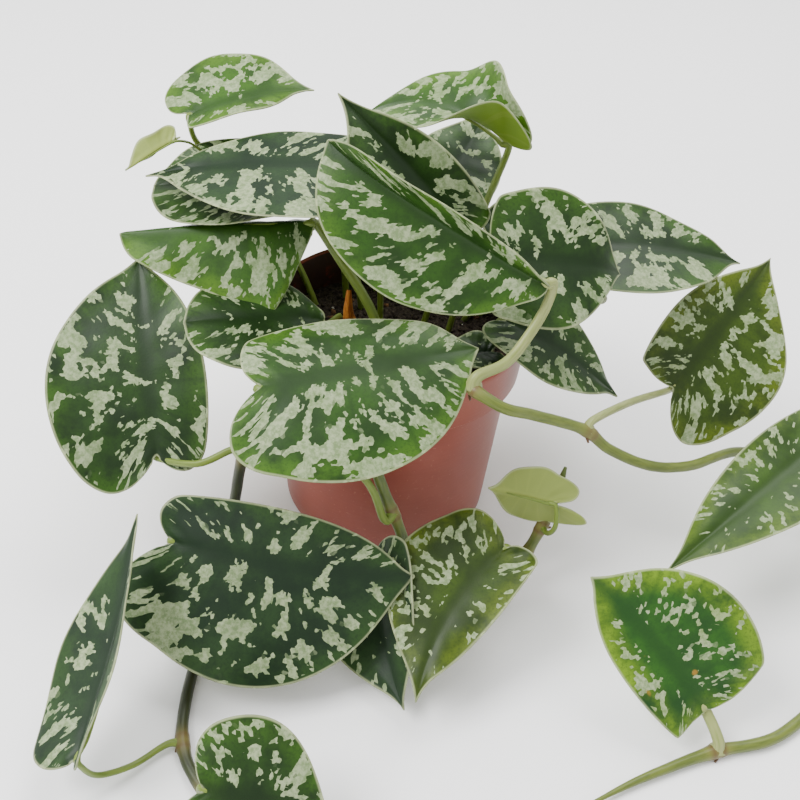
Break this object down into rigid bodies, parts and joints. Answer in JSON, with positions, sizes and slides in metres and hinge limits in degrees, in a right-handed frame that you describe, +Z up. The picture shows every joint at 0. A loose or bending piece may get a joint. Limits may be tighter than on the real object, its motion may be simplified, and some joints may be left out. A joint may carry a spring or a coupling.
{
  "type": "potted satin pothos plant",
  "caption": "Trailing houseplant with heart-shaped silver-blotched leaves on vines, rooted in a tapered terracotta-coloured nursery pot.",
  "frame": {"origin": "centre of the pot's underside, on the surface that the plant stands on", "axes": "+Z up along the pot's axis; -Y is the side that the front vine hangs over; +X is the side that the longest vine trails to"},
  "size_m": [0.3745, 0.3361, 0.2019],
  "materials": {
    "terracotta_plastic": "satin moulded",
    "dark_soil": "crumbly, matt",
    "green_stem": "smooth, satin",
    "variegated_leaf": "satin, silver blotches",
    "young_leaf": "pale, satin",
    "dried_sheath": "dry, papery"
  },
  "bodies": {
    "root": {"pot": "terracotta_plastic", "soil": "dark_soil", "vine_left": "green_stem", "vine_front": "green_stem", "vine_right": "green_stem", "dried_sheath": "dried_sheath", "vine_left_leaf_1": "variegated_leaf", "vine_left_leaf_2": "variegated_leaf", "vine_left_leaf_3": "variegated_leaf", "vine_left_leaf_4": "variegated_leaf", "vine_front_leaf_1": "variegated_leaf", "vine_front_leaf_2": "variegated_leaf", "vine_front_leaf_3": "variegated_leaf", "vine_front_leaf_4": "young_leaf", "vine_right_leaf_1": "variegated_leaf", "vine_right_leaf_2": "variegated_leaf", "vine_right_leaf_3": "variegated_leaf", "vine_right_leaf_4": "variegated_leaf", "crown_leaf_01": "variegated_leaf", "crown_leaf_02": "variegated_leaf", "crown_leaf_03": "variegated_leaf", "crown_leaf_04": "variegated_leaf", "crown_leaf_05": "variegated_leaf", "crown_leaf_06": "variegated_leaf", "crown_leaf_07": "variegated_leaf", "crown_leaf_08": "variegated_leaf", "crown_leaf_09": "variegated_leaf", "crown_leaf_10": "young_leaf", "crown_leaf_11": "variegated_leaf", "crown_leaf_12": "variegated_leaf", "crown_leaf_13": "variegated_leaf", "crown_leaf_14": "variegated_leaf", "crown_leaf_15": "variegated_leaf", "crown_leaf_16": "variegated_leaf", "crown_leaf_17": "variegated_leaf", "crown_leaf_18": "variegated_leaf"}
  },
  "joints": []
}
